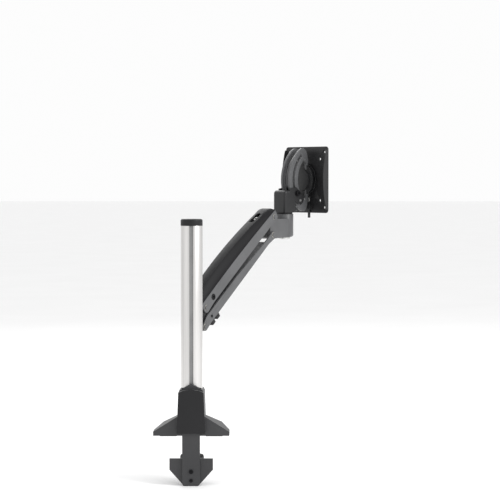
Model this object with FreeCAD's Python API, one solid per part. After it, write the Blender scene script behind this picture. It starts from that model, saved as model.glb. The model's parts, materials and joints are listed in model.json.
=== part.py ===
import FreeCAD, Part
import math
import os

V = FreeCAD.Vector

# Frame: origin on the column's axis on the desk top, +Z up, +Y towards the user,
# +X to the right as seen from behind the desk.  All sizes are millimetres and degrees.

# --- pose at rest ---
SWIVEL_DEG = -34.0          # arm heading, from +Y, clockwise is negative
LIFT_DEG = 36.0             # links above the horizontal
FACE_DEG = -51.2            # head heading, from +Y

# --- fits ---
RUN = 0.05                  # radial running clearance of a shaft in a bore
SLIDE_GAP = 0.4             # gap between pieces that slide past each other
PART_GAP = 0.5              # gap between pieces that turn beside each other

# --- desk clamp ---
DESK_T = 35.0               # desk thickness held at rest
PAD_T = 1.2                 # rubber under the base
PAD_HALF_X = 14.0
FOOT_HALF_X = 63.0
FOOT_TIP_H = 8.0
FOOT_ROOT_Z = 34.0
FOOT_FRONT_Y = 58.0
FOOT_FRONT_HALF_X = 42.0
BLOCK_DRAFT = 2.5           # half width gained from top to bottom
BLOCK_TOP_Z = 73.5
BLOCK_BOTTOM_Z = 6.0
BLOCK_CROWN = 5.0
COVER_T = 2.5               # rear cover of the block
BLOCK_WALL = 3.0            # metal beside the column
DESK_BEHIND = 10.0          # desk edge behind the column's surface
COLLAR_WALL = 1.5
COLLAR_EDGE_Z = 78.0
COLLAR_APEX_Z = 87.5
COLLAR_SCREW_R = 2.6
COLLAR_SCREW_Z = 60.0
STRAP_HALF_X = 14.7
STRAP_T = 5.0
STRAP_BOTTOM_Z = -81.0
STRAP_TOP_Z = 40.0
STRAP_SCREW_Z = (16.0, 32.0)
STRAP_SCREW_R = 2.5
JAW_T = 5.0
JAW_HALF_X = 36.0
JAW_TOP_DROP = 1.5          # top of the jaw plate below the desk
JAW_SIDE_Z = -55.0
JAW_FOOT_HALF_X = 12.5
JAW_REACH_Y = 28.0
SHELF_HALF_X = 20.0
SHELF_TOP_Z = -53.0
SHELF_T = 5.0
JAW_BOLTS = ((-57.4, 3.7), (-72.2, 3.0))
JAW_BOLT_HEAD = 2.2
JAW_BOLT_R = 2.2
JAW_SOCKET_R = 1.6
CLAMP_Y = 6.0
CLAMP_R = 5.0
CLAMP_PAD_R = 20.0
CLAMP_PAD_T = 5.0
CLAMP_RUBBER_T = 2.0
CLAMP_TAIL = 19.0           # screw below the jaw's shelf
KNOB_R = 12.0
KNOB_H = 13.0
FLUTES = 6
FLUTE_R = 4.5
FLUTE_OUT = 2.5

# --- column ---
COLUMN_R = 18.0
COLUMN_BOTTOM_Z = 12.0
COLUMN_TOP_Z = 348.0
CAP_H = 11.0
CAP_EXTRA_R = 0.3
TRACK_MOUTH = 6.5
TRACK_LIP = 2.5
TRACK_WIDTH = 13.0
TRACK_DEPTH = 5.0
STRIP_T = 1.5               # cover strip in the rear track
CORE_R = 5.0

# --- carriage and swivel ---
CARRIAGE_BOTTOM_Z = 150.0
CARRIAGE_TOP_Z = 222.0
LUG_T = 10.0
TNUT_L = 16.0
TNUT_Z = (164.0, 208.0)
TRACK_BOLT_R = 2.4
SWIVEL_R = 6.0
BUSH_T = 1.5
SWIVEL_BUSH_L = 14.0
RING_W = 2.5
WASHER_T = 2.0
BARREL_WALL = 5.0
BARREL_TOP_Z = 205.0
SWIVEL_BEHIND = 28.0        # swivel axis from the column's surface
CARRIAGE_T = 6.5

# --- four-bar ---
PIN_Z = 208.0
EYE_WALL = 3.0              # metal round a pin in shoulder and wrist
END_WALL = 4.5              # metal round a pin in the upper link
PIN_TO_BUSH = 0.1
PIN_DROP = 32.0             # lower pins below the upper pins
PIN_BACK = 3.4              # lower pins behind the upper pins
LINK_L = 255.0
PIN_R = 4.0
PIN_HEAD_T = 1.2
ARM_HALF_W = 18.0
LINK_WALL = 3.0
UPPER_BELLY = 6.0
UPPER_MID_H = 13.4
UPPER_TIP_H = 9.0
UPPER_WEB = 2.5
WEB_END = 24.0              # web ends this far from both pins
COVER_BASE_H = 13.5
COVER_MID_H = 15.6
COVER_TIP_H = 5.5
COVER_HALF_W = 17.0
COVER_BEVEL = 5.0
COVER_WALL = 2.0
COVER_SLOT_X = (210.0, 242.0)
COVER_SLOT_W = 9.0
SIDE_SCREW_X = 26.0
SIDE_SCREW_Z = 2.6
SIDE_SCREW_R = 5.5
LOWER_TOP_BASE = 11.5
LOWER_TOP_TIP = 5.5
LOWER_BELLY_BASE = -5.0
LOWER_BELLY_TIP = -4.0
LOWER_WEB = 2.5
CLIP_X = (21.0, 37.0)
CLIP_L = 9.0
CLIP_W = 16.0
CLIP_H = 9.0
CLIP_WALL = 1.8

# --- gas spring and its adjuster ---
CRANK_R = 2.5
EAR_R = 4.3                 # shoulder metal round the crank pin
EAR_T = 4.0
CRANK_ABOVE = 3.0           # crank axis above the upper pin's surface
GAS_BELOW = 1.0             # spring axis below the crank
YOKE_HALF_Y = 6.0
YOKE_WALL = 1.8
YOKE_PLAY = 0.6
GAS_R = 7.0
GAS_ROD_R = 3.0
GAS_START = 62.0
GAS_END = 208.0
GLAND_L = 6.0
SADDLE_X = (74.0, 190.0)
SADDLE_L = 8.0
TENSION_X = 226.0
TENSION_R = 3.0
TENSION_HEAD_R = 4.2
TENSION_TRAVEL = 2.5
NUT_HALF = 5.0
NUT_HALF_X = 4.5
NUT_HALF_Z = 3.5
TRUNNION_R = 2.0
FORK_T = 2.5

# --- wrist and head ---
WRIST_REACH = 57.0
WRIST_BARREL_R = 16.5
WRIST_RISE = 4.1            # top of the wrist above the tip pin
WRIST_H = 41.0
WRIST_ROUND = 4.0
PAN_BUSH_L = 12.0
SPINDLE_R = 8.0
PAN_WASHER_T = 3.0
POST_H = 40.0
POST_BACK = -12.5
POST_FRONT = 12.0
POST_HALF_Y = 16.5
FACE_RISE = 19.0            # tilt axis above the post
FACE_AHEAD = 55.0           # faceplate's outer plane ahead of the pan axis
TILT_BEYOND = 19.0          # tilt axis beyond that plane
SLOT_R = 62.0
ARC_HALF_BAND = 10.0
ARC_T = 5.0
ARC_CENTRE_Y = 10.0
SLOT_HALF_DEG = 45.5
TILT_PIN_R = 2.3
FRICTION_DEG = -23.0
GUIDE_DEG = -37.0
FRICTION_EYE_R = 6.0
GUIDE_EYE_R = 5.5
ARC_END_DEG = 49.0
TILT_WASHER_R = 5.5
TILT_WASHER_T = 1.2

# --- faceplate ---
SPINE_BACK = 13.5
SPINE_T = 4.5
SPINE_R = 29.0
HUB_CAP_R = 20.0
DISC_R = 28.0
DISC_STEP_R = 22.0
DISC_SCREW_AT = 17.0
DISC_SCREW_R = 2.0
PLATE_W = 118.0
PLATE_H = 120.0
PLATE_T = 2.5
PLATE_CORNER_R = 6.0
FLANGE_MID = 10.0
FLANGE_END = 3.0
FLANGE_T = 2.0
VESA_L = 100.0
VESA_S = 75.0
VESA_HOLE_R = 2.25
HUB_R = 6.0
LATCH_Y = -9.0
LATCH_HALF_W = 2.6
LATCH_T = 2.0
LATCH_BELOW = 9.0
LATCH_TRAVEL = 4.0
LATCH_SPRING_L = LATCH_TRAVEL + 3.0

# --- derived places ---
COS_45 = math.sqrt(0.5)
DESK_EDGE_Y = -COLUMN_R - DESK_BEHIND
BLOCK_TOP_HALF_X = COLUMN_R + BLOCK_WALL
BLOCK_BOTTOM_HALF_X = BLOCK_TOP_HALF_X + BLOCK_DRAFT
BLOCK_BACK_Y = DESK_EDGE_Y - 10.0
BLOCK_FRONT_Y = COLUMN_R + 7.0
COLLAR_HALF_X = COLUMN_R + COLLAR_WALL
COLLAR_BACK_Y = -COLUMN_R - 8.0
COLLAR_FRONT_Y = COLUMN_R + 5.0
COLLAR_SCREW_X = COLUMN_R - 4.0
SWIVEL_Y = COLUMN_R + SWIVEL_BEHIND
CARRIAGE_HALF_X = COLUMN_R - 3.5
CARRIAGE_FRONT_Y = COLUMN_R + CARRIAGE_T
BARREL_R = SWIVEL_R + BUSH_T + BARREL_WALL
LUG_R = BARREL_R + 1.0
EYE_R = PIN_R + EYE_WALL
PIN_HEAD_R = PIN_R + 0.6
PIN_AHEAD = SWIVEL_R + BUSH_T + PIN_TO_BUSH + PIN_R + PIN_BACK
UPPER_END_R = PIN_R + END_WALL
LOWER_END_R = EYE_R
CRANK_E = PIN_R + CRANK_ABOVE
GAS_Z = CRANK_E - GAS_BELOW
WEB_TOP = UPPER_WEB - UPPER_BELLY
YOKE_TOP = CRANK_E + CRANK_R + YOKE_PLAY + YOKE_WALL
UPPER_BASE_H = YOKE_TOP + 0.1
HEADING = 90.0 + SWIVEL_DEG
FACE_HEADING = 90.0 + FACE_DEG
PAD_TOP_Z = -DESK_T
TILT_X = FACE_AHEAD + TILT_BEYOND
BARREL_BOTTOM_Z = CARRIAGE_BOTTOM_Z + LUG_T + WASHER_T
INNER_HALF_W = ARM_HALF_W - LINK_WALL
PIN_REACH = ARM_HALF_W + 0.3
BLOCK_HALF_W = INNER_HALF_W - PART_GAP
STRAP_BACK_Y = DESK_EDGE_Y - 1.0 - STRAP_T
STRAP_FRONT_Y = STRAP_BACK_Y + STRAP_T
TIP_AHEAD = PIN_AHEAD + LINK_L * math.cos(math.radians(LIFT_DEG))
TIP_Z = PIN_Z + LINK_L * math.sin(math.radians(LIFT_DEG))
PAN_AHEAD = TIP_AHEAD + WRIST_REACH
WRIST_TOP_Z = TIP_Z + WRIST_RISE
HUB_X = FACE_AHEAD - SPINE_BACK
ARC_FOOT = ((HUB_X - 10, 43), (HUB_X - 7, 54), (HUB_X, 51), (HUB_X + SPINE_T, 38), (HUB_X + SPINE_T, 18),
            (HUB_X, 18), (HUB_X - 1, 33), (HUB_X - 6, 40))
WRIST_BOTTOM_Z = WRIST_TOP_Z - WRIST_H
POST_TOP_Z = WRIST_TOP_Z + PAN_WASHER_T + POST_H
FACE_Z = POST_TOP_Z + FACE_RISE
NUT_SIDE = NUT_HALF + 0.5
nodes = {}


# --- building blocks ---

def box(x0, x1, y0, y1, z0, z1):
    return Part.makeBox(x1 - x0, y1 - y0, z1 - z0, V(x0, y0, z0))


def rod(radius, start, end):
    """A solid cylinder from start to end."""
    along = V(*end) - V(*start)
    return Part.makeCylinder(radius, along.Length, V(*start), along)


def ring(outer, inner, start, end):
    return rod(outer, start, end).cut(rod(inner, start, end))


def cross_rod(radius, x, z, half_width):
    """A cylinder across the arm, along its Y."""
    return rod(radius, (x, -half_width, z), (x, half_width, z))


def outline(start, steps, half_width):
    """A flat outline in XZ, extruded across Y.  A step of two points is an arc."""
    edges = []
    here = start
    for step in steps:
        points = [V(x, -half_width, z) for x, z in [here] + step]
        if len(points) == 3:
            edges.append(Part.Arc(*points).toShape())
        else:
            edges.append(Part.makeLine(*points))
        here = step[-1]
    return Part.Face(Part.Wire(edges)).extrude(V(0, 2 * half_width, 0))


def polygon(points, direction):
    wire = Part.makePolygon([V(*p) for p in points + points[:1]])
    return Part.Face(wire).extrude(V(*direction))


def soften(shape, radius, wanted):
    """Fillet the edges that the test picks."""
    edges = [edge for edge in shape.Edges if wanted(edge)]
    return shape.makeFillet(radius, edges)


def runs_along(edge, direction):
    if not isinstance(edge.Curve, Part.Line):
        return False
    return abs(edge.Curve.Direction.dot(V(*direction))) > 0.999


def fuse(shapes):
    return shapes[0].multiFuse(shapes[1:]).removeSplitter()


def group(shapes):
    return Part.makeCompound(shapes)


def place(shape, pivot, target, yaw, pitch=0.0):
    """Turn a shape about its pivot, nose up by pitch and round by yaw, and move the pivot."""
    spin = FreeCAD.Rotation(V(0, 0, 1), yaw).multiply(FreeCAD.Rotation(V(0, 1, 0), -pitch))
    centre = V(*pivot)
    moved = shape.copy()
    shift = FreeCAD.Placement(V(*target) - spin.multVec(centre), spin)
    moved.Placement = shift.multiply(moved.Placement)
    return moved


def arm(shape):
    """From the arm's frame, X ahead of the swivel axis, to the part's frame."""
    return place(shape, (0, 0, 0), (0, SWIVEL_Y, 0), HEADING)


def on_link(shape, pin_x, pin_z):
    """From a link's frame, X along it from its base pin, to the part's frame."""
    return arm(place(shape, (0, 0, 0), (pin_x, 0, pin_z), 0.0, LIFT_DEG))


def upper(shape):
    return on_link(shape, PIN_AHEAD, PIN_Z)


def lower(shape):
    return on_link(shape, PIN_AHEAD - PIN_BACK, PIN_Z - PIN_DROP)


def head(shape):
    """From the head's frame, X ahead of the pan axis, to the part's frame."""
    along = math.radians(HEADING)
    pan = (PAN_AHEAD * math.cos(along), SWIVEL_Y + PAN_AHEAD * math.sin(along), 0)
    return place(shape, (0, 0, 0), pan, FACE_HEADING)


# --- base and clamp ---

def foot():
    """A low roof that falls from the block to both tips and narrows to the front."""
    base = PAD_T
    profile = [(-FOOT_HALF_X, base), (FOOT_HALF_X, base), (FOOT_HALF_X, FOOT_TIP_H),
               (BLOCK_TOP_HALF_X, FOOT_ROOT_Z), (-BLOCK_TOP_HALF_X, FOOT_ROOT_Z),
               (-FOOT_HALF_X, FOOT_TIP_H)]
    solid = polygon([(x, DESK_EDGE_Y, z) for x, z in profile], (0, FOOT_FRONT_Y - DESK_EDGE_Y, 0))
    front = [(-FOOT_HALF_X, DESK_EDGE_Y, 0), (FOOT_HALF_X, DESK_EDGE_Y, 0), (FOOT_HALF_X, 0, 0),
             (FOOT_FRONT_HALF_X, FOOT_FRONT_Y, 0), (-FOOT_FRONT_HALF_X, FOOT_FRONT_Y, 0),
             (-FOOT_HALF_X, 0, 0)]
    slope = [(DESK_EDGE_Y, 0), (FOOT_FRONT_Y, 0), (FOOT_FRONT_Y, FOOT_TIP_H), (0, FOOT_ROOT_Z),
             (DESK_EDGE_Y, FOOT_ROOT_Z)]
    solid = solid.common(polygon(front, (0, 0, FOOT_ROOT_Z)))
    return solid.common(polygon([(-FOOT_HALF_X, y, z) for y, z in slope], (2 * FOOT_HALF_X, 0, 0)))


def block_profile(grow, y0, y1):
    """The block's crowned outline, extruded from y0 to y1."""
    top = BLOCK_TOP_HALF_X + grow
    bottom = BLOCK_BOTTOM_HALF_X + grow
    z0 = BLOCK_BOTTOM_Z
    crown = V(0, y0, BLOCK_TOP_Z + BLOCK_CROWN + grow)
    left = V(-top, y0, BLOCK_TOP_Z + grow)
    right = V(top, y0, BLOCK_TOP_Z + grow)
    edges = [Part.makeLine(V(-bottom, y0, z0), V(bottom, y0, z0)),
             Part.makeLine(V(bottom, y0, z0), right),
             Part.Arc(right, crown, left).toShape(),
             Part.makeLine(left, V(-bottom, y0, z0))]
    return Part.Face(Part.Wire(edges)).extrude(V(0, y1 - y0, 0))


def make_base():
    socket = rod(COLUMN_R, (0, 0, COLUMN_BOTTOM_Z), (0, 0, COLUMN_TOP_Z))
    cover_y = BLOCK_BACK_Y + COVER_T
    solid = block_profile(0.0, cover_y, BLOCK_FRONT_Y).fuse(foot()).removeSplitter()
    strap_slot = box(-STRAP_HALF_X, STRAP_HALF_X, cover_y, STRAP_FRONT_Y, 0, STRAP_TOP_Z)
    solid = solid.cut(strap_slot)
    screws = []
    for z in STRAP_SCREW_Z:
        screws.append(rod(STRAP_SCREW_R, (0, STRAP_BACK_Y, z), (0, STRAP_FRONT_Y + 8, z)))
    solid = solid.cut(socket).cut(group(screws))
    cover = soften(block_profile(0.0, BLOCK_BACK_Y, cover_y), 2.0,
                   lambda edge: runs_along(edge, (0, 1, 0)) and edge.CenterOfMass.z > BLOCK_TOP_Z - 2)
    roof = [(-COLLAR_HALF_X, COLLAR_EDGE_Z - 6), (COLLAR_HALF_X, COLLAR_EDGE_Z - 6),
            (COLLAR_HALF_X, COLLAR_EDGE_Z - 2), (0, COLLAR_APEX_Z), (-COLLAR_HALF_X, COLLAR_EDGE_Z - 2)]
    collar = polygon([(x, COLLAR_BACK_Y, z) for x, z in roof], (0, COLLAR_FRONT_Y - COLLAR_BACK_Y, 0))
    collar = collar.cut(block_profile(0.0, BLOCK_BACK_Y, BLOCK_FRONT_Y)).cut(socket)
    bolts = []
    for side in (-1, 1):
        x = side * COLLAR_SCREW_X
        bolts.append(rod(COLLAR_SCREW_R, (x, COLLAR_BACK_Y + 5, COLLAR_SCREW_Z),
                         (x, COLLAR_BACK_Y + 5, COLLAR_EDGE_Z + 2)))
    solid = solid.cut(group(bolts))
    collar = collar.cut(group(bolts))
    nodes["base_casting"] = solid
    nodes["base_rear_cover"] = cover
    nodes["column_collar"] = collar
    nodes["base_screws"] = group(bolts + screws)
    pads = [box(-PAD_HALF_X, PAD_HALF_X, DESK_EDGE_Y + 3, -DESK_EDGE_Y - 3, 0, PAD_T)]
    for side in (-1, 1):
        x = side * (FOOT_HALF_X - 25)
        pads.append(box(x - PAD_HALF_X, x + PAD_HALF_X, DESK_EDGE_Y + 3, FOOT_FRONT_Y - 22, 0, PAD_T))
    nodes["desk_pads"] = group(pads)


def make_strap_and_jaw():
    strap = box(-STRAP_HALF_X, STRAP_HALF_X, STRAP_BACK_Y, STRAP_FRONT_Y, STRAP_BOTTOM_Z, STRAP_TOP_Z)
    strap = soften(strap, 4.0, lambda edge: runs_along(edge, (0, 1, 0)) and edge.CenterOfMass.z < 0)
    y0 = STRAP_FRONT_Y
    profile = [(-JAW_HALF_X, -DESK_T - JAW_TOP_DROP), (JAW_HALF_X, -DESK_T - JAW_TOP_DROP),
               (JAW_HALF_X, JAW_SIDE_Z), (JAW_FOOT_HALF_X, STRAP_BOTTOM_Z),
               (-JAW_FOOT_HALF_X, STRAP_BOTTOM_Z), (-JAW_HALF_X, JAW_SIDE_Z)]
    plate = polygon([(x, y0, z) for x, z in profile], (0, JAW_T, 0))
    shelf = box(-SHELF_HALF_X, SHELF_HALF_X, y0, JAW_REACH_Y, SHELF_TOP_Z - SHELF_T, SHELF_TOP_Z)
    gusset = [(y0 + JAW_T, SHELF_TOP_Z - SHELF_T), (CLAMP_Y - KNOB_R - 2, SHELF_TOP_Z - SHELF_T),
              (y0 + JAW_T, STRAP_BOTTOM_Z + 8)]
    ribs = []
    for side in (-1, 1):
        x = side * (JAW_FOOT_HALF_X - 1.5)
        ribs.append(polygon([(x - 1.5, y, z) for y, z in gusset], (3.0, 0, 0)))
    jaw = fuse([plate, shelf] + ribs)
    jaw = jaw.cut(rod(CLAMP_R, (0, CLAMP_Y, STRAP_BOTTOM_Z), (0, CLAMP_Y, SHELF_TOP_Z + 1)))
    bolts = []
    for z, head_r in JAW_BOLTS:
        shank = rod(JAW_BOLT_R, (0, STRAP_BACK_Y, z), (0, y0 + JAW_T, z))
        strap = strap.cut(shank)
        jaw = jaw.cut(shank)
        cap = rod(head_r, (0, STRAP_BACK_Y - JAW_BOLT_HEAD, z), (0, STRAP_BACK_Y, z))
        socket = rod(JAW_SOCKET_R, (0, STRAP_BACK_Y - JAW_BOLT_HEAD, z), (0, STRAP_BACK_Y - 0.4, z))
        bolts.append(shank.fuse(cap).cut(socket))
    for z in STRAP_SCREW_Z:
        strap = strap.cut(rod(STRAP_SCREW_R, (0, STRAP_BACK_Y - 1, z), (0, STRAP_FRONT_Y + 1, z)))
    nodes["rear_strap"] = strap
    nodes["lower_jaw"] = jaw
    nodes["jaw_bolts"] = group(bolts)


def make_clamp_screw():
    seat_z = PAD_TOP_Z - CLAMP_RUBBER_T - CLAMP_PAD_T
    nodes["clamp_rubber"] = rod(CLAMP_PAD_R - 1, (0, CLAMP_Y, seat_z + CLAMP_PAD_T), (0, CLAMP_Y, PAD_TOP_Z))
    plate = rod(CLAMP_PAD_R, (0, CLAMP_Y, seat_z), (0, CLAMP_Y, seat_z + CLAMP_PAD_T))
    nodes["clamp_pad"] = plate.cut(rod(CLAMP_R, (0, CLAMP_Y, seat_z), (0, CLAMP_Y, seat_z + 3.5)))
    tail_z = SHELF_TOP_Z - SHELF_T - CLAMP_TAIL
    tip = (0, CLAMP_Y, seat_z + 3.5 - RUN)
    nodes["clamp_screw"] = rod(CLAMP_R - RUN, (0, CLAMP_Y, tail_z), tip)
    knob = rod(KNOB_R, (0, CLAMP_Y, tail_z - 2), (0, CLAMP_Y, tail_z - 2 + KNOB_H))
    for turn in range(FLUTES):
        angle = math.radians(360 / FLUTES * turn)
        x = (KNOB_R + FLUTE_OUT) * math.cos(angle)
        y = CLAMP_Y + (KNOB_R + FLUTE_OUT) * math.sin(angle)
        knob = knob.cut(rod(FLUTE_R, (x, y, tail_z - 3), (x, y, tail_z + KNOB_H)))
    nodes["clamp_knob"] = knob.cut(nodes["clamp_screw"])


# --- column ---

def make_column():
    solid = rod(COLUMN_R, (0, 0, COLUMN_BOTTOM_Z), (0, 0, COLUMN_TOP_Z))
    height = (COLUMN_BOTTOM_Z - 1, COLUMN_TOP_Z + 1)
    for side in (-1, 1):
        mouth_y = sorted((side * (COLUMN_R - TRACK_LIP - 1), side * (COLUMN_R + 1)))
        inner = COLUMN_R - TRACK_LIP - TRACK_DEPTH
        hall_y = sorted((side * inner, side * (COLUMN_R - TRACK_LIP)))
        solid = solid.cut(box(-TRACK_MOUTH / 2, TRACK_MOUTH / 2, *mouth_y, *height))
        solid = solid.cut(box(-TRACK_WIDTH / 2, TRACK_WIDTH / 2, *hall_y, *height))
    strip_y = -(COLUMN_R - TRACK_LIP)
    nodes["track_strip"] = box(-TRACK_WIDTH / 2, TRACK_WIDTH / 2, strip_y, strip_y + STRIP_T,
                               COLUMN_BOTTOM_Z, COLUMN_TOP_Z)
    nodes["column"] = solid.cut(rod(CORE_R, (0, 0, height[0]), (0, 0, height[1])))
    cap = rod(COLUMN_R + CAP_EXTRA_R, (0, 0, COLUMN_TOP_Z), (0, 0, COLUMN_TOP_Z + CAP_H))
    cap = soften(cap, 3.0, lambda edge: edge.CenterOfMass.z > COLUMN_TOP_Z + CAP_H - 1)
    nodes["column_cap"] = cap.fuse(rod(CORE_R, (0, 0, COLUMN_TOP_Z - 10), (0, 0, COLUMN_TOP_Z + 1)))


# --- carriage and swivel ---

def make_carriage():
    back = box(-CARRIAGE_HALF_X, CARRIAGE_HALF_X, COLUMN_R / 2, CARRIAGE_FRONT_Y,
               CARRIAGE_BOTTOM_Z, CARRIAGE_TOP_Z)
    back = soften(back, 3.0, lambda edge: runs_along(edge, (1, 0, 0)) and edge.CenterOfMass.y > 20)
    lug = rod(LUG_R, (0, SWIVEL_Y, CARRIAGE_BOTTOM_Z), (0, SWIVEL_Y, CARRIAGE_BOTTOM_Z + LUG_T))
    neck = box(-LUG_R, LUG_R, CARRIAGE_FRONT_Y - 5, SWIVEL_Y, CARRIAGE_BOTTOM_Z, CARRIAGE_BOTTOM_Z + LUG_T)
    column_space = rod(COLUMN_R + SLIDE_GAP, (0, 0, 100), (0, 0, 300))
    key_half = TRACK_MOUTH / 2 - SLIDE_GAP
    key = box(-key_half, key_half, COLUMN_R - TRACK_LIP + SLIDE_GAP, COLUMN_R + 2,
              CARRIAGE_BOTTOM_Z + 4, CARRIAGE_TOP_Z - 4)
    solid = fuse([fuse([back, lug, neck]).cut(column_space), key])
    solid = solid.cut(rod(SWIVEL_R, (0, SWIVEL_Y, CARRIAGE_BOTTOM_Z - 1),
                          (0, SWIVEL_Y, CARRIAGE_BOTTOM_Z + LUG_T + 1)))
    nuts = []
    bolts = []
    nut_back = COLUMN_R - TRACK_LIP - TRACK_DEPTH + SLIDE_GAP
    nut_front = COLUMN_R - TRACK_LIP - SLIDE_GAP
    half = TRACK_WIDTH / 2 - SLIDE_GAP
    for z in TNUT_Z:
        shank = rod(TRACK_BOLT_R, (0, nut_back, z), (0, CARRIAGE_FRONT_Y - 3, z))
        cap = rod(4.5, (0, CARRIAGE_FRONT_Y - 3, z), (0, CARRIAGE_FRONT_Y, z))
        bolt = shank.fuse(cap)
        solid = solid.cut(bolt)
        nuts.append(box(-half, half, nut_back, nut_front, z - TNUT_L / 2, z + TNUT_L / 2).cut(shank))
        socket = rod(2.0, (0, CARRIAGE_FRONT_Y - 2.2, z), (0, CARRIAGE_FRONT_Y, z))
        bolts.append(bolt.cut(socket))
    nodes["carriage_bracket"] = solid
    nodes["track_nuts"] = group(nuts)
    nodes["carriage_bolts"] = group(bolts)
    pin_top = BARREL_TOP_Z + PART_GAP + WASHER_T
    nodes["swivel_pin"] = rod(SWIVEL_R, (0, SWIVEL_Y, CARRIAGE_BOTTOM_Z), (0, SWIVEL_Y, pin_top))
    washer_z = CARRIAGE_BOTTOM_Z + LUG_T
    nodes["thrust_washer"] = ring(BARREL_R, SWIVEL_R, (0, SWIVEL_Y, washer_z),
                                  (0, SWIVEL_Y, washer_z + WASHER_T))
    nodes["swivel_ring"] = ring(SWIVEL_R + RING_W, SWIVEL_R, (0, SWIVEL_Y, pin_top - WASHER_T),
                                (0, SWIVEL_Y, pin_top))


def make_shoulder():
    low = BARREL_BOTTOM_Z + RUN
    barrel = rod(BARREL_R, (0, 0, low), (0, 0, BARREL_TOP_Z))
    lower_x = PIN_AHEAD - PIN_BACK
    lower_z = PIN_Z - PIN_DROP
    web = outline((0, lower_z - EYE_R), [[(lower_x, lower_z - EYE_R)], [(PIN_AHEAD + EYE_R, PIN_Z - 14)],
                                         [(PIN_AHEAD + EYE_R, PIN_Z)],
                                         [(PIN_AHEAD, PIN_Z + EYE_R), (PIN_AHEAD - EYE_R, PIN_Z)],
                                         [(0, BARREL_TOP_Z - 8)], [(0, lower_z - EYE_R)]], BLOCK_HALF_W)
    web = web.cut(rod(BARREL_R - 1, (0, 0, low), (0, 0, BARREL_TOP_Z)))
    eye = cross_rod(EYE_R, lower_x, lower_z, BLOCK_HALF_W)
    ears = []
    for side in (-1, 1):
        y = sorted((side * (BLOCK_HALF_W - EAR_T), side * BLOCK_HALF_W))
        crank_z = PIN_Z + CRANK_E
        ears.append(rod(EAR_R, (PIN_AHEAD, y[0], crank_z), (PIN_AHEAD, y[1], crank_z)))
    solid = fuse([barrel, web, eye] + ears)
    room = YOKE_HALF_Y + 1.0
    solid = solid.cut(box(PIN_AHEAD - 12, PIN_AHEAD + 12, -room, room, PIN_Z + 2, PIN_Z + 30))
    solid = solid.cut(box(PIN_AHEAD + PIN_R + 0.4, PIN_AHEAD + 12, -room, room, PIN_Z - 16, PIN_Z + 3))
    bore = SWIVEL_R + BUSH_T
    solid = solid.cut(rod(bore, (0, 0, low - 1), (0, 0, BARREL_TOP_Z + 1)))
    solid = solid.cut(rod(SWIVEL_R + RING_W + PART_GAP, (0, 0, BARREL_TOP_Z), (0, 0, BARREL_TOP_Z + 20)))
    pins = []
    for x, z in ((PIN_AHEAD, PIN_Z), (lower_x, lower_z)):
        solid = solid.cut(cross_rod(PIN_R - RUN, x, z, ARM_HALF_W))
        pin = cross_rod(PIN_R - RUN, x, z, PIN_REACH)
        for side in (-1, 1):
            pin = pin.fuse(rod(PIN_HEAD_R, (x, side * PIN_REACH, z), (x, side * (PIN_REACH + PIN_HEAD_T), z)))
        pins.append(pin)
    crank = cross_rod(CRANK_R, PIN_AHEAD, PIN_Z + CRANK_E, BLOCK_HALF_W)
    solid = solid.cut(crank)
    bushes = []
    for z0, z1 in ((low, low + SWIVEL_BUSH_L), (BARREL_TOP_Z - SWIVEL_BUSH_L, BARREL_TOP_Z)):
        bushes.append(ring(bore, SWIVEL_R + RUN, (0, 0, z0), (0, 0, z1)))
    nodes["shoulder_bracket"] = arm(solid)
    nodes["shoulder_pins"] = arm(group(pins))
    nodes["crank_pin"] = arm(crank)
    nodes["swivel_bushes"] = arm(group(bushes))


# --- links ---

def top_line():
    """Three points of the upper link's arched top edge."""
    return ((-UPPER_END_R, UPPER_BASE_H), (LINK_L / 2, UPPER_MID_H), (LINK_L + UPPER_END_R, UPPER_TIP_H))


def upper_side(half_width):
    base, middle, tip = top_line()
    end = UPPER_END_R
    belly = -UPPER_BELLY
    steps = [[(-end * COS_45, -end * COS_45), (0, -end)], [(WEB_END, belly)], [(LINK_L - WEB_END, belly)],
             [(LINK_L, -end)], [(LINK_L + end * COS_45, -end * COS_45), (LINK_L + end, 0)],
             [tip], [middle, base], [(-end, 0)]]
    return outline((-end, 0), steps, half_width)


def cover_solid(inset, half_width):
    """The cover's outer form on the channel's edge, or its hollow, which is open below."""
    base, middle, tip = top_line()
    x0 = base[0] + inset
    x1 = tip[0] - inset
    start = (x0, 0.0) if inset else base
    foot = [(x1, 0.0)] if inset else [middle, tip]
    steps = [foot, [(x1, tip[1] + COVER_TIP_H - inset)],
             [(middle[0], middle[1] + COVER_MID_H - inset), (x0, base[1] + COVER_BASE_H - inset)], [start]]
    solid = outline(start, steps, half_width)
    long_edges = [edge for edge in solid.Edges
                  if edge.Length > LINK_L * 0.8 and edge.CenterOfMass.z > UPPER_MID_H + COVER_BEVEL]
    return solid.makeChamfer(COVER_BEVEL - inset, long_edges)


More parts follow.
